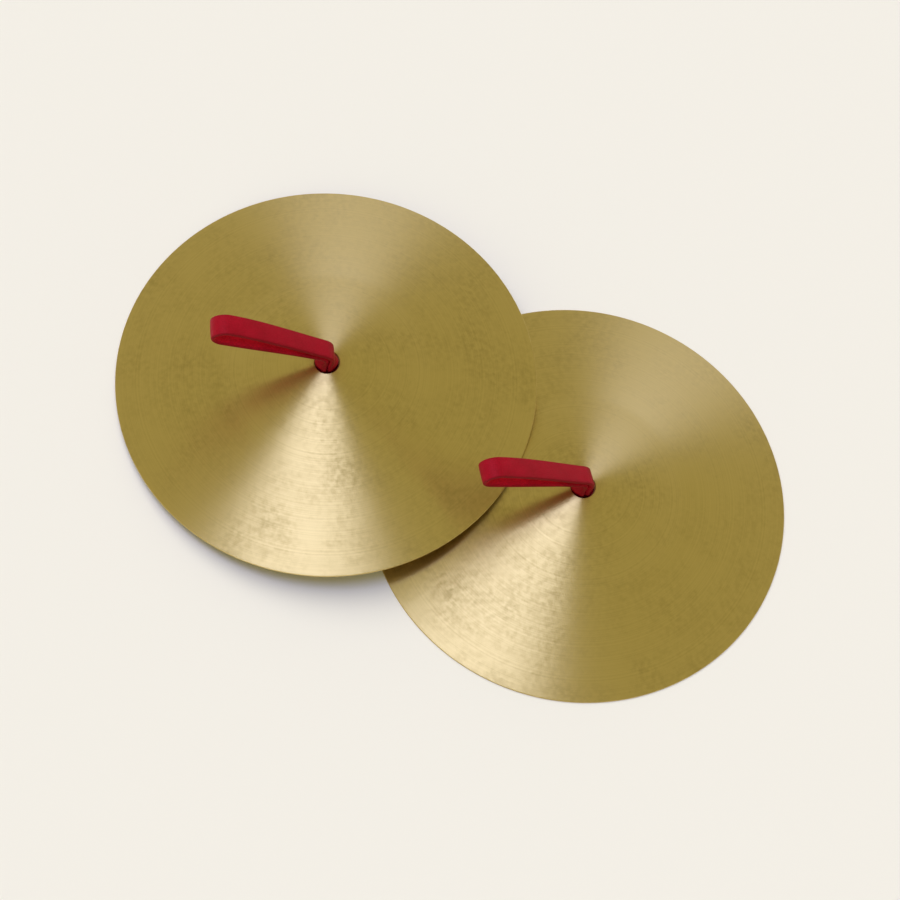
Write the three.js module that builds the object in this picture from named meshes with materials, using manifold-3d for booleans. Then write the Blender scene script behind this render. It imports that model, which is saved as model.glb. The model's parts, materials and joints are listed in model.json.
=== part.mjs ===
// A pair of small clash cymbals, the lower one flat on the floor and the upper one leaning on it.
// Units are millimetres. +Z is up, the floor is z = 0 and +X runs from the upper cymbal to the lower.
// The origin is on the floor, in the middle of the pair.
import * as THREE from "three";
import { mergeVertices } from "three/addons/utils/BufferGeometryUtils.js";
import Module from "manifold-3d";

// Cymbal plate, spun from sheet brass: slopes are in degrees, at the top face
const rimRadius = 100;
const sheetThickness = 1.1;
const rimLandWidth = 1.2;
const rimSlope = 17;
const bowInnerSlope = 11.5;
const bellEdgeSlope = 17.5;
const crownSlope = 8.5;
const bellRadius = 46.5;
const bellFilletWidth = 5.5;
const holeRadius = 6;

// How the pair lies
const hubSpacing = 131.5;
const restGap = 0.3;

// Strap: one leather band folded in half, with both ends through the hole
const strapWidth = 10.4;
const strapThickness = 2.2;
const legGap = 0.5;
const neckWidth = 9.2;
const loopLength = 69.5;
const loopOpening = 8;
const widestShare = 0.91;
const waistShare = 0.95;
const backLean = 11;
const loopTilt = 55;
const loopDroop = 11;
const bendLength = 8.8;
const upperStrapTurn = 26.5;
const lowerStrapTurn = 36.5;

// The strap bends at the hole's mouth, about a line this far above it
const pivotRise = 3.2;
const pivotClearance = 0.3;

// Leather washer under the bell, and the knot of four tails below it
const washerRadius = 13;
const washerThickness = 2;
const neckClearance = 0.3;
const seatGap = 0.3;
const knotWidth = 15;
const knotCorner = 3;
const knotCore = 3;
const tailWidth = 5;
const tailLength = 30;
const tailDroop = 18;
const tailStagger = 0.2;

// How finely round shapes are divided
const plateSides = 64;
const washerSides = 32;
const rimSteps = 5;
const filletSteps = 2;
const bellSteps = 5;
const bendSteps = 7;
const legSteps = 9;
const capSteps = 6;
const lineSteps = 240;
const tailSteps = 6;

const wasm = await Module();
wasm.setup();

const radians = THREE.MathUtils.degToRad;
const blend = (a, b, t) => a + (b - a) * t;
const smooth = (t) => THREE.MathUtils.smoothstep(t, 0, 1);

// Materials
const brass = { color: 0xc9ab55, roughness: 0.3, metalness: 1 };
const redLeather = { color: 0x991526, roughness: 0.6, metalness: 0 };
const tanLeather = { color: 0x9a6b3f, roughness: 0.75, metalness: 0 };

function part(name, geometry, look) {
  const mesh = new THREE.Mesh(geometry, new THREE.MeshStandardMaterial(look));
  mesh.name = name;
  return mesh;
}

function toSolid(geometry) {
  const bare = geometry.clone();
  bare.deleteAttribute("normal");
  bare.deleteAttribute("uv");
  const merged = mergeVertices(bare);
  const vertProperties = new Float32Array(merged.attributes.position.array);
  const triVerts = new Uint32Array(merged.index.array);
  return new wasm.Manifold(new wasm.Mesh({ numProp: 3, vertProperties, triVerts }));
}

function toGeometry(solid) {
  const { vertProperties, triVerts } = solid.getMesh();
  const geometry = new THREE.BufferGeometry();
  geometry.setAttribute("position", new THREE.BufferAttribute(new Float32Array(vertProperties), 3));
  geometry.setIndex(new THREE.BufferAttribute(new Uint32Array(triVerts), 1));
  geometry.computeVertexNormals();
  return geometry;
}

// Turns a closed outline of [radius, height] points about the Z axis
function turned(outline, sides) {
  const points = outline.map(([radius, height]) => new THREE.Vector2(radius, height));
  return new THREE.LatheGeometry(points, sides).rotateX(Math.PI / 2);
}

// The plate's top face as stations from the rim in to the hole, each with its radius, height and slope.
// The sine of the slope changes evenly along each stretch, which makes the stretch a round arc.
function topFace() {
  const bowInner = bellRadius + bellFilletWidth;
  const stretches = [
    { to: bowInner, slope: bowInnerSlope, steps: rimSteps },
    { to: bellRadius, slope: bellEdgeSlope, steps: filletSteps },
    { to: holeRadius, slope: crownSlope, steps: bellSteps },
  ];
  const slopeAtRim = radians(rimSlope);
  const edge = sheetThickness / Math.cos(slopeAtRim) - rimLandWidth * Math.tan(slopeAtRim);
  const stations = [{ radius: rimRadius, height: edge, slope: slopeAtRim }];
  for (const { to, slope, steps } of stretches) {
    const from = stations.at(-1);
    for (let i = 1; i <= steps; i++) {
      const last = stations.at(-1);
      const sine = blend(Math.sin(from.slope), Math.sin(radians(slope)), i / steps);
      const next = { radius: blend(from.radius, to, i / steps), slope: Math.asin(sine) };
      const middle = (Math.tan(last.slope) + Math.tan(next.slope)) / 2;
      next.height = last.height + (last.radius - next.radius) * middle;
      stations.push(next);
    }
  }
  return stations;
}

const stations = topFace();
const hubTop = stations.at(-1).height;

function faceAt(radius) {
  const inner = Math.max(stations.findIndex((s) => s.radius <= radius), 1);
  const [a, b] = [stations[inner - 1], stations[inner]];
  const t = (a.radius - radius) / (a.radius - b.radius);
  return { height: blend(a.height, b.height, t), slope: blend(a.slope, b.slope, t) };
}

function undersideAt(radius) {
  const { height, slope } = faceAt(radius);
  return height - sheetThickness / Math.cos(slope);
}

function plateGeometry() {
  const top = stations.map(({ radius, height }) => [radius, height]);
  const landInner = rimRadius - rimLandWidth;
  const inside = stations.filter(({ radius }) => radius < landInner);
  const underside = inside.map(({ radius }) => [radius, undersideAt(radius)]);
  const outline = [[rimRadius, 0], ...top, ...underside.reverse(), [landInner, 0], [rimRadius, 0]];
  return turned(outline, plateSides);
}

// Neck: the strap's two legs side by side, as they pass through the hole
const neckHalf = strapThickness + legGap / 2;
const neckReach = Math.hypot(neckHalf, neckWidth / 2);
const pivotHeight = hubTop + pivotRise;

// Washer: dished to the bell on top and flat below
const washerBottom = undersideAt(washerRadius) - seatGap - washerThickness;

function washerGeometry() {
  const inner = neckReach + neckClearance;
  const middle = (inner + washerRadius) / 2;
  const radii = [washerRadius, middle, inner];
  const top = radii.map((radius) => [radius, undersideAt(Math.max(radius, holeRadius)) - seatGap]);
  const outline = [[washerRadius, washerBottom], ...top, [inner, washerBottom], [washerRadius, washerBottom]];
  return turned(outline, washerSides);
}

// Knot: a core below the washer, with four tails that cross under it and run out
const knotTop = washerBottom - seatGap;

function neckGeometry() {
  const bottom = knotTop - knotCore / 2;
  const shape = new THREE.Shape();
  shape.moveTo(-neckHalf, bottom);
  shape.lineTo(neckHalf, bottom);
  shape.lineTo(neckHalf, pivotHeight);
  shape.absarc(0, pivotHeight, neckHalf, 0, Math.PI, false);
  shape.lineTo(-neckHalf, bottom);
  const geometry = new THREE.ExtrudeGeometry(shape, { depth: neckWidth, bevelEnabled: false, curveSegments: 12 });
  return geometry.rotateX(Math.PI / 2).translate(0, neckWidth / 2, 0);
}

function knotCoreGeometry() {
  const half = knotWidth / 2;
  const straight = half - knotCorner;
  const shape = new THREE.Shape();
  for (let i = 0; i < 4; i++) {
    const turn = (i * Math.PI) / 2;
    const x = straight * (i === 0 || i === 3 ? 1 : -1);
    const y = straight * (i < 2 ? 1 : -1);
    shape.absarc(x, y, knotCorner, turn, turn + Math.PI / 2, false);
  }
  const geometry = new THREE.ExtrudeGeometry(shape, { depth: knotCore, bevelEnabled: false, curveSegments: 4 });
  return geometry.translate(0, 0, knotTop - knotCore);
}

// One tail: it lies flat under the core, then droops as it runs out beside its neighbour
function tailGeometry() {
  const top = knotTop - knotCore / 2;
  const flat = knotWidth / 2;
  const upper = [[-flat, top], [flat, top]];
  let height = top;
  for (let i = 1; i <= tailSteps; i++) {
    const slope = radians(tailDroop) * ((i - 0.5) / tailSteps);
    const run = (tailLength - flat) / tailSteps;
    height -= run * Math.tan(slope);
    upper.push([flat + run * i, height]);
  }
  const lower = upper.map(([x, z]) => [x, z - strapThickness]).reverse();
  const shape = new THREE.Shape([...lower, ...upper].map(([x, z]) => new THREE.Vector2(x, z)));
  const geometry = new THREE.ExtrudeGeometry(shape, { depth: tailWidth, bevelEnabled: false });
  return geometry.rotateX(Math.PI / 2).translate(0, tailWidth + tailStagger, 0);
}

function knotGeometry() {
  let solid = toSolid(neckGeometry()).add(toSolid(knotCoreGeometry()));
  for (let i = 0; i < 4; i++) {
    const tail = tailGeometry().rotateZ((i * Math.PI) / 2);
    solid = solid.add(toSolid(tail));
  }
  return toGeometry(solid);
}

// The loop's middle line, in the plane that the strap leans in: x is out and z is up.
// It runs from the pivot back from the axis to the loop's foot, bends over there and droops on to the tip.
const footDistance = neckHalf + pivotClearance;

function middleLine() {
  const line = [{ x: 0, z: pivotHeight, heading: radians(-backLean) }];
  const step = loopLength / lineSteps;
  for (let i = 1; i <= lineSteps; i++) {
    const last = line.at(-1);
    const reach = Math.max(i * step - footDistance, 0);
    const bent = blend(-backLean, loopTilt, smooth(reach / bendLength));
    const drooped = loopDroop * (reach / (loopLength - footDistance));
    const heading = radians(bent + drooped);
    const mean = (last.heading + heading) / 2;
    line.push({ x: last.x + step * Math.sin(mean), z: last.z + step * Math.cos(mean), heading });
  }
  return line;
}

// One leg of the teardrop from its foot to the tip: share is how far out it is, offset how far from the middle
function legStations() {
  const foot = footDistance / loopLength;
  const bent = (footDistance + bendLength) / loopLength;
  const narrow = (legGap + strapThickness) / 2;
  const wide = narrow + loopOpening / 2;
  const shares = [];
  for (let i = 0; i < bendSteps; i++) {
    shares.push(blend(foot, bent, i / bendSteps));
  }
  for (let i = 0; i < legSteps; i++) {
    shares.push(blend(bent, widestShare, i / legSteps));
  }
  const leg = shares.map((share) => {
    const opened = smooth((share - foot) / (widestShare - foot));
    return { share, offset: blend(narrow, wide, opened) };
  });
  for (let i = 0; i <= capSteps; i++) {
    const angle = (i / capSteps) * (Math.PI / 2);
    leg.push({ share: blend(widestShare, 1, Math.sin(angle)), offset: wide * Math.cos(angle) });
  }
  return leg;
}

function loopGeometry() {
  const line = middleLine();
  const leg = legStations();
  const path = [...leg, ...leg.slice(0, -1).reverse().map((s) => ({ ...s, offset: -s.offset }))];
  const centres = path.map(({ share, offset }) => {
    const { x, z, heading } = line[Math.round(share * lineSteps)];
    return { x: x + offset * Math.cos(heading), z: z - offset * Math.sin(heading), share };
  });
  const positions = [];
  centres.forEach(({ x, z, share }, i) => {
    const before = centres[Math.max(i - 1, 0)];
    const after = centres[Math.min(i + 1, centres.length - 1)];
    const along = new THREE.Vector2(after.x - before.x, after.z - before.z).normalize();
    const side = { x: (along.y * strapThickness) / 2, z: (-along.x * strapThickness) / 2 };
    const halfWidth = blend(neckWidth, strapWidth, smooth(share / waistShare)) / 2;
    positions.push(x + side.x, -halfWidth, z + side.z);
    positions.push(x + side.x, halfWidth, z + side.z);
    positions.push(x - side.x, halfWidth, z - side.z);
    positions.push(x - side.x, -halfWidth, z - side.z);
  });
  const faces = [0, 2, 1, 0, 3, 2];
  for (let i = 0; i + 1 < centres.length; i++) {
    for (let j = 0; j < 4; j++) {
      const [a, b] = [4 * i + j, 4 * i + ((j + 1) % 4)];
      faces.push(a, b, b + 4, a, b + 4, a + 4);
    }
  }
  const end = 4 * (centres.length - 1);
  faces.push(end, end + 1, end + 2, end, end + 2, end + 3);
  const geometry = new THREE.BufferGeometry();
  geometry.setAttribute("position", new THREE.Float32BufferAttribute(positions, 3));
  geometry.setIndex(faces);
  geometry.computeVertexNormals();
  return geometry;
}

// One whole cymbal, with its strap turned about the axis by strapTurn degrees from -X towards -Y
function cymbal(side, strapTurn) {
  const group = new THREE.Group();
  const strap = new THREE.Group();
  strap.rotation.z = Math.PI + radians(strapTurn);
  strap.add(part(`${side}_strap_loop`, loopGeometry(), redLeather));
  strap.add(part(`${side}_strap_knot`, knotGeometry(), redLeather));
  group.add(part(`${side}_plate`, plateGeometry(), brass));
  group.add(part(`${side}_washer`, washerGeometry(), tanLeather));
  group.add(strap);
  return group;
}

// The upper cymbal's lean: its left rim is on the floor and its right rim lies on the lower bell
function leanAngle() {
  let angle = 0;
  for (let i = 0; i < 30; i++) {
    const { height, slope } = faceAt(hubSpacing - rimRadius * Math.cos(angle));
    angle = Math.asin((height + restGap / Math.cos(slope)) / (2 * rimRadius));
  }
  return angle;
}

const lean = leanAngle();
const edgeHeight = stations[0].height;
const upperHalf = rimRadius * Math.cos(lean) + edgeHeight * Math.sin(lean);
const lowerX = (hubSpacing + upperHalf - rimRadius) / 2;

const pair = new THREE.Group();
const lower = cymbal("lower", lowerStrapTurn);
lower.position.set(lowerX, 0, 0);
const upper = cymbal("upper", upperStrapTurn);
upper.rotation.y = -lean;
upper.position.set(lowerX - hubSpacing, 0, rimRadius * Math.sin(lean));
pair.add(lower, upper);

export default pair;
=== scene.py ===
"""A pair of small clash cymbals: spun brass plates, looped leather hand straps, and the floor they lie on."""

import json
import math

import bpy
import numpy as np
from mathutils import Matrix, Vector


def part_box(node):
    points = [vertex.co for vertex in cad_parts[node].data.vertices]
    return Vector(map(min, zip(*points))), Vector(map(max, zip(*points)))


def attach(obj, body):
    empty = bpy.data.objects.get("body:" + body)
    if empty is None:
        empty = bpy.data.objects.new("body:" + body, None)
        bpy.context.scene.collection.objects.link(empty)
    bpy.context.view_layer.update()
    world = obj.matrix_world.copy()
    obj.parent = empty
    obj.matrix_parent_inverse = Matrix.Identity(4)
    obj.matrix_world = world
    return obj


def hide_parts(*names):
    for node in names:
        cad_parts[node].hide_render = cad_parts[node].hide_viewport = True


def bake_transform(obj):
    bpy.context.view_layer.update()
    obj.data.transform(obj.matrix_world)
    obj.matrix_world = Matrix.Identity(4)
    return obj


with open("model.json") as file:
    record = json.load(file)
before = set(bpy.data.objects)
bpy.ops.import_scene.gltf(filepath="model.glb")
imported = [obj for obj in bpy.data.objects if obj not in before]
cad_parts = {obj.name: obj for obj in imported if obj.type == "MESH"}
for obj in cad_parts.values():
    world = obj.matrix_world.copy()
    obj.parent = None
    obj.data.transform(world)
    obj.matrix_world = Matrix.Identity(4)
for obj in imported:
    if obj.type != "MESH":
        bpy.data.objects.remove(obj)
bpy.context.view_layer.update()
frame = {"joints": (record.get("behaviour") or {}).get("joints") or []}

MM = 0.001

# Plate, as the model has it: slopes are in degrees, at the top face
SHEET_THICKNESS = 1.1 * MM
RIM_LAND_WIDTH = 1.2 * MM
RIM_SLOPE = 17
BOW_INNER_SLOPE = 11.5
BELL_EDGE_SLOPE = 17.5
CROWN_SLOPE = 8.5
BELL_RADIUS = 46.5 * MM
BELL_FILLET_WIDTH = 5.5 * MM
HOLE_RADIUS = 6 * MM
EDGE_ROUNDING = 0.32 * MM

# Strap, as the model has it: the leather and its neck in the hole
STRAP_WIDTH = 10.4 * MM
STRAP_THICKNESS = 2.2 * MM
LEG_GAP = 0.5 * MM
NECK_WIDTH = 9.2 * MM
PIVOT_CLEARANCE = 0.3 * MM

# Strap's loop: heights and lengths are from the pivot, shares are of the loop's length, angles are in degrees
LOOP_LENGTH = 69.5 * MM
LOOP_OPENING = 8 * MM
WIDEST_SHARE = 0.91
WAIST_SHARE = 0.95
BACK_LEAN = 11
BACK_LEAN_START = -3.2 * MM
BACK_LEAN_LENGTH = 4.7 * MM
LOOP_TILT = 55
LOOP_DROOP = 11
BEND_LENGTH = 8.8 * MM

# Strap's surface: its round edges and its crown, which is full at the neck and fades from the given height
STRAP_CORNER = 0.75 * MM
STRAP_CROWN = 0.14 * MM
NECK_CROWN = 2.7 * MM
NECK_CROWN_TOP = -1 * MM
NECK_CROWN_FADE = 6 * MM

# Swelling where the hole's mouth crowds the neck: its middle is this far above the hub
NECK_SWELL = 0.5 * MM
SWELL_RISE = 0.8 * MM
SWELL_REACH = 3 * MM

# Creases inside the bend: they spread over this many times its length
CREASE_HEIGHT = 0.16 * MM
CREASE_SPACING = 2.3 * MM
CREASE_SPREAD = 1.6

# Wander of the band to the side: a wave between two angles in radians
STRAP_WANDER = 0.35 * MM
WANDER_ANGLES = (0.4, 2.7 * math.pi)

# Washer and knot under the bell: the droop is in degrees, the taper is a share of the tail's width
WASHER_RADIUS = 13 * MM
WASHER_THICKNESS = 2 * MM
WASHER_ROUNDING = 0.6 * MM
NECK_CLEARANCE = 0.3 * MM
SEAT_GAP = 0.3 * MM
KNOT_WIDTH = 15 * MM
TAIL_COUNT = 4
TAIL_WIDTH = 5 * MM
TAIL_THICKNESS = 1.6 * MM
TAIL_LENGTH = 30 * MM
TAIL_ROOT = -0.5 * MM
TAIL_DROOP = 18
TAIL_SPACING = 0.2 * MM
TAIL_WEAVE = 0.85 * MM
TAIL_CORNER = 0.5 * MM
TAIL_TAPER = 0.4
TAIL_TAPER_LENGTH = 6 * MM

# How finely the meshes are divided
PLATE_SIDES = 360
BOW_STEPS = 36
FILLET_STEPS = 14
BELL_STEPS = 34
WASHER_SIDES = 96
WASHER_POINTS = 8
CORNER_STEPS = 5
FACE_STEPS = 8
EDGE_STEPS = 10
STRAP_STEP = 0.3 * MM
MIDDLE_POINTS = 700
LEG_POINTS = 300
TIP_POINTS = 40
ROOT_POINTS = 8
FOLD_STEPS = 8
WEAVE_POINTS = 22
DROOP_STEPS = 24

# Corners that are made round: their least turn in degrees, and the most of a side that they take
LEAST_TURN = 25
MOST_OF_SIDE = 0.45

# Flat maps: a band's has this many units for a metre, and this share of the half width counts as edge
UV_LAYER = "UVMap"
UVS_PER_METRE = 10
EDGE_SHARE = 0.2

# Camera, where the photograph was taken from
CAMERA_AZIMUTH = 6.94
CAMERA_ELEVATION = 67.06
CAMERA_ROLL = 17.93
CAMERA_DISTANCE = 3.0
CAMERA_LENS = 252.5
CAMERA_SENSOR = 36
CAMERA_NEAR = 0.1
CAMERA_FAR = 100
CAMERA_AIM = (-0.14 * MM, -1.19 * MM)

# Light: a soft lamp near overhead, a wide fill that metal doesn't mirror, and a sky that is pale low down
KEY_DIRECTION = (-0.1133, -0.1231, 0.9859)
KEY_WIDTH = 26
KEY_STRENGTH = 0.49
KEY_COLOUR = (1.0, 1.165, 2.4)
FILL_DIRECTION = (-0.45, 0.33, 0.83)
FILL_WIDTH = 60
FILL_STRENGTH = 1.495
FILL_COLOUR = (1.0, 0.982, 0.981)
SKY_ZENITH = (0.4385, 0.4165, 0.219)
SKY_HORIZON = (0.896, 0.863, 0.791)
SKY_FALLOFF = 5.0
FLOOR_COLOUR = (0.896, 0.863, 0.791)
FLOOR_HALF = 12.0

# Brass: colours are linear, and dulling says how far each thing takes the bright colour to the dull one
BRASS = (0.76, 0.573, 0.216)
BRASS_DULL = (0.647, 0.48, 0.17)
BRASS_ROUGHNESS = (0.33, 0.41)
BRASS_ANISOTROPY = 1.0
BRASS_RELIEF = {"Strength": 0.5, "Distance": 0.03 * MM}
TURNING_MARKS = {"Scale": 240.0, "Detail": 6.0, "Roughness": 0.72}
MARK_RANGE = (0.3, 0.7)
MARK_DULLING = (-0.2, 0.4)
TARNISH_CLOUDS = {"Scale": 38.0, "Detail": 7.0, "Roughness": 0.6}
TARNISH_SPECKS = {"Scale": 420.0, "Detail": 3.0}
TARNISH_RANGE = (0.35, 0.7)
UNDERSIDE_DULLING = 0.35

# Leather: colours are linear, and darkening says how far each thing takes the colour to the dark one
RED_LEATHER = (0.39, 0.002, 0.017)
RED_LEATHER_DARK = (0.2, 0.001, 0.006)
# The red strap's flesh side: lighter than the grain side, as a napped flesh side is, and lighter still as
# painted light over the shade between the loop's legs
RED_FLESH_WITH_PAINTED_LIGHT = (0.75, 0.008, 0.035)
TAN_LEATHER = (0.32, 0.15, 0.06)
TAN_LEATHER_DARK = (0.16, 0.065, 0.025)
LEATHER_GLOSS = 0.13
LEATHER_ROUGHNESS = (0.5, 0.85)
LEATHER_RELIEF = {"Strength": 0.5, "Distance": 0.08 * MM}
LEATHER_CLOUDS = {"Scale": 9.0, "Detail": 4.0}
CLOUD_RANGE = (0.3, 0.75)
CLOUD_DARKENING = 0.45
PEBBLE_SIZE = 0.9 * MM
PEBBLE_SLOPE = 0.25
PORE_WIDTH = 0.18
PORE_DARKENING = 0.35
FINE_GRAIN_SIZE = 0.15 * MM
FINE_GRAIN_DETAIL = 4.0
FINE_GRAIN_HEIGHT = 0.6
EDGE_DARKENING = 0.5
FLESH_DEPTHS = (0.2 * MM, -0.6 * MM)


# Helpers


def between(a, b, t):
    """The value at share t of the way from a to b."""
    return a + (b - a) * t


def smooth(t):
    """Eases from 0 to 1 as t does, and holds there."""
    t = np.clip(t, 0, 1)
    return t * t * (3 - 2 * t)


def running(steps):
    """The sum so far before each step, and after the last one."""
    return np.concatenate([[0], np.cumsum(steps)])


def side_lengths(ring):
    """How long each side of a closed outline is."""
    return np.linalg.norm(np.roll(ring, -1, axis=0) - ring, axis=1)


def new_object(name, data):
    made = bpy.data.objects.new(name, data)
    bpy.context.scene.collection.objects.link(made)
    return made


def mesh_object(name, points, faces, uvs, marks):
    """A smooth-shaded mesh. uvs has one pair for each face corner, marks one value for each point."""
    mesh = bpy.data.meshes.new(name)
    mesh.from_pydata(points, [], faces)
    layer = mesh.uv_layers.new(name=UV_LAYER)
    layer.data.foreach_set("uv", np.asarray(uvs, np.float32).ravel())
    for mark, values in marks.items():
        stored = mesh.attributes.new(mark, "FLOAT", "POINT")
        stored.data.foreach_set("value", np.asarray(values, np.float32))
    mesh.shade_smooth()
    mesh.validate()
    return new_object(name, mesh)


def rounded(outline, radius):
    """A closed outline with its sharper corners made round."""
    points = [Vector(p) for p in outline]
    made = []
    for i, corner in enumerate(points):
        before = points[i - 1] - corner
        after = points[(i + 1) % len(points)] - corner
        turn = 180 - math.degrees(before.angle(after))
        if turn < LEAST_TURN:
            made.append(tuple(corner))
            continue
        reach = min(radius, MOST_OF_SIDE * before.length, MOST_OF_SIDE * after.length)
        start = corner + before.normalized() * reach
        end = corner + after.normalized() * reach
        for k in range(CORNER_STEPS + 1):
            t = k / CORNER_STEPS
            made.append(tuple((1 - t) ** 2 * start + 2 * t * (1 - t) * corner + t * t * end))
    return made


def turned(name, outline, sides, marks=None):
    """Turns a closed outline of (radius, height) points about the Z axis.

    U runs round the outline and V round the axis. marks has one value for each point of the outline.
    """
    ring = np.array(outline)
    count = len(ring)
    lengths = side_lengths(ring)
    along = running(lengths) / lengths.sum()
    angles = np.arange(sides) * 2 * math.pi / sides
    points = [(r * math.cos(a), r * math.sin(a), z) for a in angles for r, z in ring]
    faces, uvs = [], []
    for j in range(sides):
        low, high = j / sides, (j + 1) / sides
        for i in range(count):
            a, b = j * count + i, j * count + (i + 1) % count
            c, d = (j + 1) % sides * count + (i + 1) % count, (j + 1) % sides * count + i
            faces.append((a, d, c, b))
            uvs += [(along[i], low), (along[i], high), (along[i + 1], high), (along[i + 1], low)]
    repeated = {mark: np.tile(values, sides) for mark, values in (marks or {}).items()}
    return mesh_object(name, points, faces, uvs, repeated)


def round_edge(flat, corner, thick, start):
    """One round edge of a band's section: half a turn from the start angle, without its ends."""
    angles = [start - math.pi * k / EDGE_STEPS for k in range(1, EDGE_STEPS)]
    return [(flat + corner * math.cos(a), thick * math.sin(a)) for a in angles]


def band_section(half, thick, corner, crown):
    """The band's section as (across, depth) points, with round edges and a crowned outer face."""
    flat = half - corner
    shares = [k / FACE_STEPS for k in range(FACE_STEPS + 1)]
    points = [(y, thick + crown * (1 - (y / flat) ** 2)) for y in (between(-flat, flat, t) for t in shares)]
    points += round_edge(flat, corner, thick, math.pi / 2)
    points += [(between(flat, -flat, t), -thick) for t in shares]
    points += round_edge(-flat, corner, thick, -math.pi / 2)
    return points


def swept(name, centres, normals, widths, thickness, corner, crowns=0.0, shifts=0.0):
    """Sweeps a flat band along centres in the XZ plane: its width is along Y, its thickness along normals.

    crowns and shifts hold one value, or one for each centre. U runs along the band and V round its section.
    """
    count = len(centres)
    crowns = np.broadcast_to(crowns, count)
    shifts = np.broadcast_to(shifts, count)
    sections = [band_section(width / 2, thickness / 2, corner, crown) for width, crown in zip(widths, crowns)]
    points = []
    for centre, normal, section, shift in zip(centres, normals, sections, shifts):
        for y, depth in section:
            points.append((centre[0] + depth * normal[0], y + shift, centre[1] + depth * normal[1]))
    ring = np.array(sections[count // 2])
    around = len(ring)
    along = running(np.linalg.norm(np.diff(centres, axis=0), axis=1))
    across = running(side_lengths(ring))
    faces, uvs = [], []
    for j in range(count - 1):
        low, high = along[j], along[j + 1]
        for i in range(around):
            a, b = j * around + i, j * around + (i + 1) % around
            faces.append((a, b, b + around, a + around))
            uvs += [(low, across[i]), (low, across[i + 1]), (high, across[i + 1]), (high, across[i])]
    first = range(around)
    last = range((count - 1) * around, count * around)
    for cap, place in ((first[::-1], along[0]), (last, along[-1])):
        faces.append(tuple(cap))
        uvs += [(place, 0.0)] * around
    sideways = np.abs(ring[:, 0]) / np.abs(ring[:, 0]).max()
    edge = smooth((sideways - (1 - EDGE_SHARE)) / EDGE_SHARE)
    marks = {"edge": np.tile(edge, count), "depth": np.tile(ring[:, 1], count)}
    return mesh_object(name, points, faces, np.array(uvs) * UVS_PER_METRE, marks)


# Where things are, from the frame

joints = {joint["name"]: joint for joint in frame["joints"]}

HUB_HEIGHT = joints["lower_strap_swivel"]["pos_m"][2]
PIVOT_HEIGHT = joints["lower_strap_tilt"]["pos_m"][2]
RIM_RADIUS = (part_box("lower_plate")[1].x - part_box("lower_plate")[0].x) / 2


def cymbal_frame(side):
    """The cymbal's own frame: the rim plane's middle, with Z along the axis and X the way the strap leans."""
    axis = Vector(joints[f"{side}_strap_swivel"]["axis"]).normalized()
    hub = Vector(joints[f"{side}_strap_swivel"]["pos_m"])
    hinge = Vector(joints[f"{side}_strap_tilt"]["axis"]).normalized()
    lean = hinge.cross(axis).normalized()
    across = axis.cross(lean)
    made = Matrix((lean, across, axis)).transposed().to_4x4()
    made.translation = hub - axis * HUB_HEIGHT
    return made


# Materials


def feed(tree, node, inputs):
    """Gives a node its inputs: a socket is linked, and anything else is set as the value."""
    for name, value in inputs.items():
        if isinstance(value, bpy.types.NodeSocket):
            tree.links.new(value, node.inputs[name])
        else:
            node.inputs[name].default_value = value


def add_node(tree, kind, inputs=None, **settings):
    made = tree.nodes.new(kind)
    for name, value in settings.items():
        setattr(made, name, value)
    feed(tree, made, inputs or {})
    return made


def new_material(name):
    made = bpy.data.materials.new(name)
    made.use_nodes = True
    return made, made.node_tree, made.node_tree.nodes["Principled BSDF"]


def rgba(colour):
    return (*colour, 1.0)


def mix_colours(tree, factor, a, b):
    """Mixes two colours: the node has them at inputs 6 and 7, and its result at output 2."""
    return add_node(tree, "ShaderNodeMix", {0: factor, 6: a, 7: b}, data_type="RGBA").outputs[2]


def combine(tree, operation, a, b, clamp=False):
    return add_node(tree, "ShaderNodeMath", {0: a, 1: b}, operation=operation, use_clamp=clamp).outputs[0]


def ramp(tree, value, given=(0, 1), wanted=(0, 1)):
    """Takes the given range of a value to the wanted one, and holds it there."""
    limits = {"From Min": given[0], "From Max": given[1], "To Min": wanted[0], "To Max": wanted[1]}
    return add_node(tree, "ShaderNodeMapRange", {"Value": value, **limits}).outputs["Result"]


def noise(tree, inputs, dimensions="3D"):
    return add_node(tree, "ShaderNodeTexNoise", inputs, noise_dimensions=dimensions).outputs["Fac"]


def mark_value(tree, name):
    return add_node(tree, "ShaderNodeAttribute", attribute_name=name).outputs["Fac"]


def flat_map(tree):
    return add_node(tree, "ShaderNodeUVMap", uv_map=UV_LAYER).outputs["UV"]


def relief(tree, height, settings):
    return add_node(tree, "ShaderNodeBump", {"Height": height, **settings}).outputs["Normal"]


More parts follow.
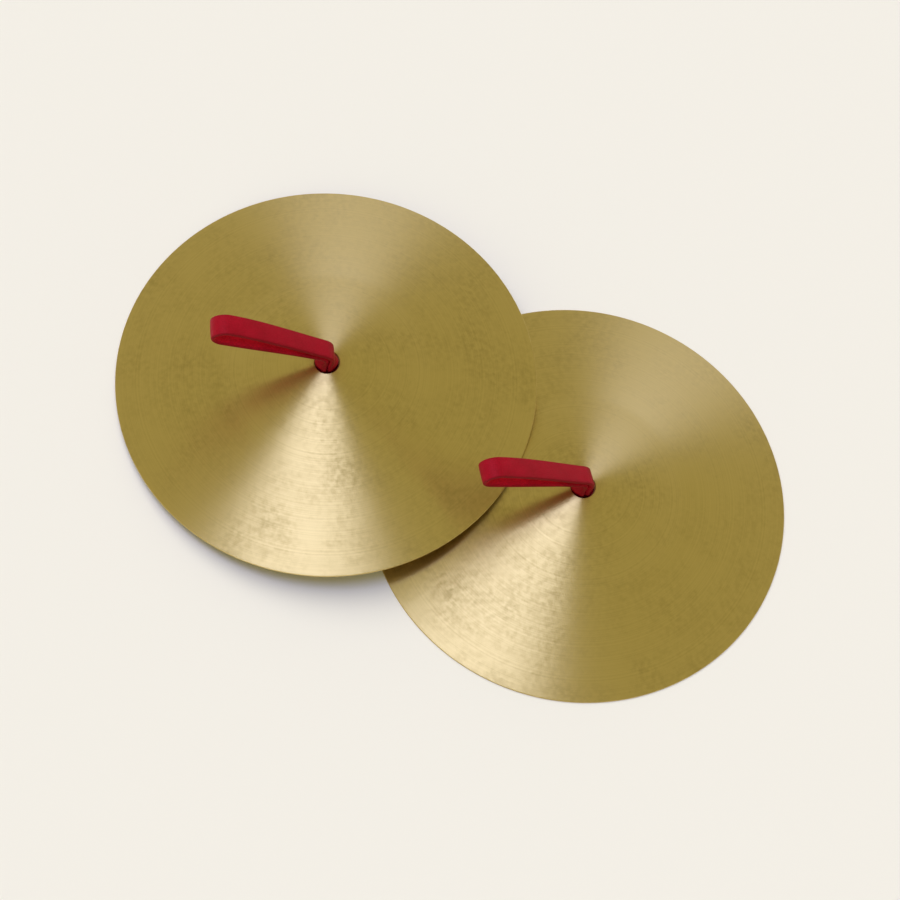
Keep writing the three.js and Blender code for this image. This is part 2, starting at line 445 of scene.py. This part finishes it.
def brass_material():
    """Spun brass: turning marks that stretch highlights along the radius, and a thin uneven tarnish."""
    made, tree, shader = new_material("turned_brass")
    place = add_node(tree, "ShaderNodeTexCoord").outputs["Object"]
    ring = add_node(tree, "ShaderNodeSeparateXYZ", {"Vector": flat_map(tree)}).outputs["X"]
    turning = noise(tree, {"W": ring, **TURNING_MARKS}, "1D")
    cloud = ramp(tree, noise(tree, {"Vector": place, **TARNISH_CLOUDS}), TARNISH_RANGE)
    speck = ramp(tree, noise(tree, {"Vector": place, **TARNISH_SPECKS}), TARNISH_RANGE)
    tarnish = combine(tree, "MULTIPLY", cloud, speck)
    worn = combine(tree, "ADD", tarnish, ramp(tree, turning, MARK_RANGE, MARK_DULLING))
    under = ramp(tree, mark_value(tree, "under"), wanted=(0, UNDERSIDE_DULLING))
    duller = combine(tree, "ADD", worn, under, clamp=True)
    tangent = add_node(tree, "ShaderNodeTangent", direction_type="UV_MAP", uv_map=UV_LAYER)
    looks = {
        "Base Color": mix_colours(tree, duller, rgba(BRASS), rgba(BRASS_DULL)),
        "Roughness": ramp(tree, duller, wanted=BRASS_ROUGHNESS),
        "Metallic": 1.0,
        "Anisotropic": BRASS_ANISOTROPY,
        "Tangent": tangent.outputs["Tangent"],
        "Normal": relief(tree, turning, BRASS_RELIEF),
    }
    feed(tree, shader, looks)
    return made


def leather_material(name, colour, dark, flesh):
    """Leather with a pebbled grain, darker burnished edges and a napped flesh side in the given flesh colour;
    the red strap's is painted lighter, as painted light over the shade between its legs.
    """
    made, tree, shader = new_material(name)
    uv = flat_map(tree)
    pebble_map = {"Vector": uv, "Scale": 1 / (UVS_PER_METRE * PEBBLE_SIZE)}
    cells = add_node(tree, "ShaderNodeTexVoronoi", pebble_map, feature="DISTANCE_TO_EDGE")
    pebbles = cells.outputs["Distance"]
    fine_map = {"Vector": uv, "Scale": 1 / (UVS_PER_METRE * FINE_GRAIN_SIZE), "Detail": FINE_GRAIN_DETAIL}
    fine = noise(tree, fine_map)
    cloud = ramp(tree, noise(tree, {"Vector": uv, **LEATHER_CLOUDS}), CLOUD_RANGE, (0, CLOUD_DARKENING))
    pore = ramp(tree, pebbles, (0, PORE_WIDTH), (PORE_DARKENING, 0))
    edge = ramp(tree, mark_value(tree, "edge"), wanted=(0, EDGE_DARKENING))
    darker = combine(tree, "ADD", combine(tree, "ADD", cloud, pore), edge, clamp=True)
    inner = ramp(tree, mark_value(tree, "depth"), FLESH_DEPTHS)
    # The flesh side takes the flesh colour, which on the red strap carries painted light over the shade
    # between the loop's legs
    face = mix_colours(tree, inner, rgba(colour), rgba(flesh))
    fine_height = ramp(tree, fine, wanted=(0, FINE_GRAIN_HEIGHT))
    height = combine(tree, "ADD", ramp(tree, pebbles, (0, PEBBLE_SLOPE)), fine_height)
    looks = {
        "Base Color": mix_colours(tree, darker, face, rgba(dark)),
        "Roughness": ramp(tree, inner, wanted=LEATHER_ROUGHNESS),
        "Specular IOR Level": LEATHER_GLOSS,
        "Normal": relief(tree, height, LEATHER_RELIEF),
    }
    feed(tree, shader, looks)
    return made


MATERIALS = {
    "turned_brass": brass_material(),
    "red_leather": leather_material("red_leather", RED_LEATHER, RED_LEATHER_DARK, RED_FLESH_WITH_PAINTED_LIGHT),
    "tan_leather": leather_material("tan_leather", TAN_LEATHER, TAN_LEATHER_DARK, TAN_LEATHER),
}


def dress(piece, slot):
    piece.data.materials.append(MATERIALS[slot])


def finish(piece, slot, body, node):
    """The piece's material, the body it rides on and the node it stands for."""
    dress(piece, slot)
    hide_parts(node)
    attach(piece, body)


# Plates


def top_face():
    """The plate's top face from the rim in to the hole: radius, height and slope. Each stretch is an arc."""
    stretches = (
        (BELL_RADIUS + BELL_FILLET_WIDTH, BOW_INNER_SLOPE, BOW_STEPS),
        (BELL_RADIUS, BELL_EDGE_SLOPE, FILLET_STEPS),
        (HOLE_RADIUS, CROWN_SLOPE, BELL_STEPS),
    )
    slope = math.radians(RIM_SLOPE)
    height = SHEET_THICKNESS / math.cos(slope) - RIM_LAND_WIDTH * math.tan(slope)
    stations = [(RIM_RADIUS, height, slope)]
    for end_radius, inner_slope, steps in stretches:
        start_radius, start_sine = stations[-1][0], math.sin(stations[-1][2])
        end_sine = math.sin(math.radians(inner_slope))
        for k in range(1, steps + 1):
            radius, height, slope = stations[-1]
            next_radius = between(start_radius, end_radius, k / steps)
            next_slope = math.asin(between(start_sine, end_sine, k / steps))
            height += (radius - next_radius) * (math.tan(slope) + math.tan(next_slope)) / 2
            stations.append((next_radius, height, next_slope))
    return stations


STATIONS = top_face()


def underside_at(radius):
    """The height of the plate's underside: the sheet's thickness below the top face, square to its slope."""
    radii, heights, slopes = zip(*reversed(STATIONS))
    height = np.interp(radius, radii, heights)
    slope = np.interp(radius, radii, slopes)
    return height - SHEET_THICKNESS / math.cos(slope)


def plate(side):
    land_inner = RIM_RADIUS - RIM_LAND_WIDTH
    top = [(radius, height) for radius, height, _ in STATIONS]
    inside = [radius for radius, _, _ in STATIONS if radius < land_inner - 2 * EDGE_ROUNDING]
    underside = [(radius, underside_at(radius)) for radius in reversed(inside)]
    outline = rounded([(RIM_RADIUS, 0), *top, *underside, (land_inner, 0)], EDGE_ROUNDING)
    under = [1.0 if z < underside_at(r) + SHEET_THICKNESS / 2 else 0.0 for r, z in outline]
    made = turned(f"{side}_plate_spun", outline, PLATE_SIDES, {"under": under})
    made.data.transform(cymbal_frame(side))
    finish(made, "turned_brass", f"{side}_cymbal", f"{side}_plate")


# Straps: heights of the washer's bottom and the knot's top, half the neck's depth, and the bend's start

WASHER_BOTTOM = underside_at(WASHER_RADIUS) - SEAT_GAP - WASHER_THICKNESS
KNOT_TOP = WASHER_BOTTOM - SEAT_GAP
NECK_HALF = STRAP_THICKNESS + LEG_GAP / 2
FOOT = NECK_HALF + PIVOT_CLEARANCE


def strap_middle(reach):
    """Place and heading of the strap's middle line, from the knot to the tip, at distances from the pivot."""
    lean_back = math.radians(-BACK_LEAN) * smooth((reach - BACK_LEAN_START) / BACK_LEAN_LENGTH)
    over = math.radians(BACK_LEAN + LOOP_TILT) * smooth((reach - FOOT) / BEND_LENGTH)
    droop = math.radians(LOOP_DROOP) * np.clip((reach - FOOT) / (LOOP_LENGTH - FOOT), 0, 1)
    heading = lean_back + over + droop
    steps = np.diff(reach)
    mean = (heading[1:] + heading[:-1]) / 2
    x = running(steps * np.sin(mean))
    z = running(steps * np.cos(mean))
    x -= np.interp(0, reach, x)
    z -= np.interp(0, reach, z) - PIVOT_HEIGHT
    return x, z, heading


def strap_path():
    """The band's centre line, up one leg, round the tip and down the other.

    With it come the distance from the pivot and the width at each of its points.
    """
    bottom = KNOT_TOP - TAIL_THICKNESS - PIVOT_HEIGHT
    reach = np.linspace(bottom, LOOP_LENGTH, MIDDLE_POINTS)
    x, z, heading = strap_middle(reach)
    narrow = (LEG_GAP + STRAP_THICKNESS) / 2
    wide = narrow + LOOP_OPENING / 2
    widest = WIDEST_SHARE * LOOP_LENGTH
    tip = np.linspace(0, math.pi / 2, TIP_POINTS)[1:]
    straight = np.linspace(bottom, widest, LEG_POINTS)
    leg_reach = np.concatenate([straight, between(widest, LOOP_LENGTH, np.sin(tip))])
    spread = narrow + (wide - narrow) * smooth((leg_reach - FOOT) / (widest - FOOT))
    spread[-len(tip):] = wide * np.cos(tip)
    place = np.stack([np.interp(leg_reach, reach, x), np.interp(leg_reach, reach, z)], -1)
    turn = np.interp(leg_reach, reach, heading)
    away = np.stack([np.cos(turn), -np.sin(turn)], -1)
    outward = place - away * spread[:, None]
    inward = place + away * spread[:, None]
    line = np.concatenate([outward, inward[-2::-1]])
    far = np.concatenate([leg_reach, leg_reach[-2::-1]])
    length = running(np.linalg.norm(np.diff(line, axis=0), axis=1))
    even = np.linspace(0, length[-1], int(length[-1] / STRAP_STEP))
    centres = np.stack([np.interp(even, length, line[:, 0]), np.interp(even, length, line[:, 1])], -1)
    far = np.interp(even, length, far)
    widths = between(NECK_WIDTH, STRAP_WIDTH, smooth(far / (WAIST_SHARE * LOOP_LENGTH)))
    return centres, far, widths


def band_normals(centres):
    """The outer side's direction: to the left of the way the line runs."""
    along = np.gradient(centres, axis=0)
    along /= np.linalg.norm(along, axis=1, keepdims=True)
    return np.stack([-along[:, 1], along[:, 0]], -1)


def creases(far):
    """Soft ridges across the band on the inside of its bend: the band's second half is the inner leg."""
    middle = FOOT + BEND_LENGTH / 2
    bent = smooth(CREASE_SPREAD - np.abs(far - middle) / (BEND_LENGTH / 2))
    inner_leg = np.arange(len(far)) > len(far) / 2
    return CREASE_HEIGHT * bent * inner_leg * np.sin(far * 2 * math.pi / CREASE_SPACING)


def swelling(far):
    """How far the leather stands out on each side where the hole's mouth crowds it."""
    middle = HUB_HEIGHT + SWELL_RISE - PIVOT_HEIGHT
    return NECK_SWELL * smooth(1 - np.abs(far - middle) / SWELL_REACH)


def wander(far):
    """How far the band strays to the side along its length."""
    return STRAP_WANDER * smooth(far / LOOP_LENGTH) * np.sin(np.linspace(*WANDER_ANGLES, len(far)))


def strap(side):
    """The whole strap above the knot as one band, which bends where its loop leaves its seat."""
    centres, far, widths = strap_path()
    normals = band_normals(centres)
    swell = swelling(far)
    widths = widths + 2 * swell
    crowns = between(NECK_CROWN, STRAP_CROWN, smooth((far - NECK_CROWN_TOP) / NECK_CROWN_FADE))
    crowns = crowns + creases(far) + swell
    name = f"{side}_strap_band"
    made = swept(name, centres, normals, widths, STRAP_THICKNESS, STRAP_CORNER, crowns, wander(far))
    place = cymbal_frame(side)
    made.data.transform(place)
    dress(made, "red_leather")
    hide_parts(f"{side}_strap_loop")
    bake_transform(made)


# Knot: each tail folds back under itself, then passes over one neighbour and under the next


def tail_line():
    """One tail's centre line: out to its fold, back across the knot, and down to its free end."""
    flat = KNOT_WIDTH / 2
    top = KNOT_TOP - TAIL_THICKNESS / 2
    middle = top - TAIL_THICKNESS - TAIL_WEAVE
    crossing = TAIL_WIDTH / 2 + TAIL_SPACING
    fold = TAIL_THICKNESS / 2
    points = [(x, top) for x in np.linspace(TAIL_ROOT, -flat + fold, ROOT_POINTS)]
    for k in range(1, FOLD_STEPS):
        a = math.pi * k / FOLD_STEPS
        points.append((-flat + fold - fold * math.sin(a), top - fold + fold * math.cos(a)))
    for x in np.linspace(-flat + fold, flat, WEAVE_POINTS):
        points.append((x, middle - TAIL_WEAVE * math.sin(np.clip(x / crossing, -1, 1) * math.pi / 2)))
    x, z = points[-1]
    run = (TAIL_LENGTH - flat) / DROOP_STEPS
    for k in range(DROOP_STEPS):
        slope = math.radians(TAIL_DROOP) * (k + 0.5) / DROOP_STEPS
        x += run
        z -= run * math.tan(slope)
        points.append((x, z))
    return np.array(points)


def knot(side):
    """Four equal tails, each a quarter turn from the last."""
    centres = tail_line()
    normals = band_normals(centres)
    to_end = np.linalg.norm(centres - centres[-1], axis=1)
    widths = TAIL_WIDTH * (1 - TAIL_TAPER * smooth(1 - to_end / TAIL_TAPER_LENGTH))
    shift = TAIL_WIDTH / 2 + TAIL_SPACING
    for k in range(TAIL_COUNT):
        name = f"{side}_knot_tail_{k + 1}"
        made = swept(name, centres, normals, widths, TAIL_THICKNESS, TAIL_CORNER, shifts=shift)
        made.data.transform(cymbal_frame(side) @ Matrix.Rotation(k * math.pi / 2, 4, "Z"))
        finish(made, "red_leather", f"{side}_strap_seat", f"{side}_strap_knot")


# Washer


def washer(side):
    """A leather disc that follows the bell's inside and is flat below."""
    inner = math.hypot(NECK_HALF, NECK_WIDTH / 2) + NECK_CLEARANCE
    radii = np.linspace(WASHER_RADIUS, inner, WASHER_POINTS)
    top = [(r, underside_at(max(r, HOLE_RADIUS)) - SEAT_GAP) for r in radii]
    outline = rounded([(WASHER_RADIUS, WASHER_BOTTOM), *top, (inner, WASHER_BOTTOM)], WASHER_ROUNDING)
    made = turned(f"{side}_washer_leather", outline, WASHER_SIDES)
    made.data.transform(cymbal_frame(side))
    finish(made, "tan_leather", f"{side}_strap_seat", f"{side}_washer")


# Floor, light and camera


def floor():
    mesh = bpy.data.meshes.new("floor")
    half = FLOOR_HALF
    corners = [(-half, -half, 0), (half, -half, 0), (half, half, 0), (-half, half, 0)]
    mesh.from_pydata(corners, [], [(0, 1, 2, 3)])
    made = new_object("floor", mesh)
    material, tree, shader = new_material("pale_floor")
    feed(tree, shader, {"Base Color": rgba(FLOOR_COLOUR), "Roughness": 1.0, "Specular IOR Level": 0.0})
    mesh.materials.append(material)


def lamp(name, direction, width, strength, colour, mirrored=True):
    """A distant lamp. Its width is in degrees across the sky, and direction points to it."""
    data = bpy.data.lights.new(name, "SUN")
    data.angle = math.radians(width)
    data.energy = strength
    data.color = colour
    made = new_object(name, data)
    made.rotation_mode = "QUATERNION"
    made.rotation_quaternion = Vector(direction).to_track_quat("Z", "Y")
    made.visible_glossy = mirrored


def sky():
    """A sky that fades from the horizon's colour to the zenith's."""
    world = bpy.data.worlds.new("studio")
    bpy.context.scene.world = world
    world.use_nodes = True
    tree = world.node_tree
    way = add_node(tree, "ShaderNodeTexCoord").outputs["Generated"]
    rise = add_node(tree, "ShaderNodeSeparateXYZ", {"Vector": way}).outputs["Z"]
    low = ramp(tree, rise, wanted=(1, 0))
    near = combine(tree, "POWER", low, SKY_FALLOFF)
    colour = mix_colours(tree, near, rgba(SKY_ZENITH), rgba(SKY_HORIZON))
    feed(tree, tree.nodes["Background"], {"Color": colour})


def camera():
    azimuth, elevation = math.radians(CAMERA_AZIMUTH), math.radians(CAMERA_ELEVATION)
    level_reach = math.cos(elevation)
    back = Vector((math.sin(azimuth) * level_reach, -math.cos(azimuth) * level_reach, math.sin(elevation)))
    level = Vector((0, 0, 1)).cross(back).normalized()
    roll = Matrix.Rotation(math.radians(CAMERA_ROLL), 3, back)
    right = roll @ level
    up = back.cross(right)
    data = bpy.data.cameras.new("camera")
    data.sensor_width = CAMERA_SENSOR
    data.lens = CAMERA_LENS
    data.clip_start = CAMERA_NEAR
    data.clip_end = CAMERA_FAR
    made = new_object("camera", data)
    made.matrix_world = Matrix((right, up, back)).transposed().to_4x4()
    made.location = back * CAMERA_DISTANCE + right * CAMERA_AIM[0] + up * CAMERA_AIM[1]
    bpy.context.scene.camera = made


def surroundings():
    floor()
    lamp("key_lamp", KEY_DIRECTION, KEY_WIDTH, KEY_STRENGTH, KEY_COLOUR)
    lamp("fill_lamp", FILL_DIRECTION, FILL_WIDTH, FILL_STRENGTH, FILL_COLOUR, mirrored=False)
    sky()
    camera()
    bpy.context.scene.view_settings.view_transform = "Standard"


surroundings()
for cymbal_side in ("lower", "upper"):
    plate(cymbal_side)
    washer(cymbal_side)
    strap(cymbal_side)
    knot(cymbal_side)
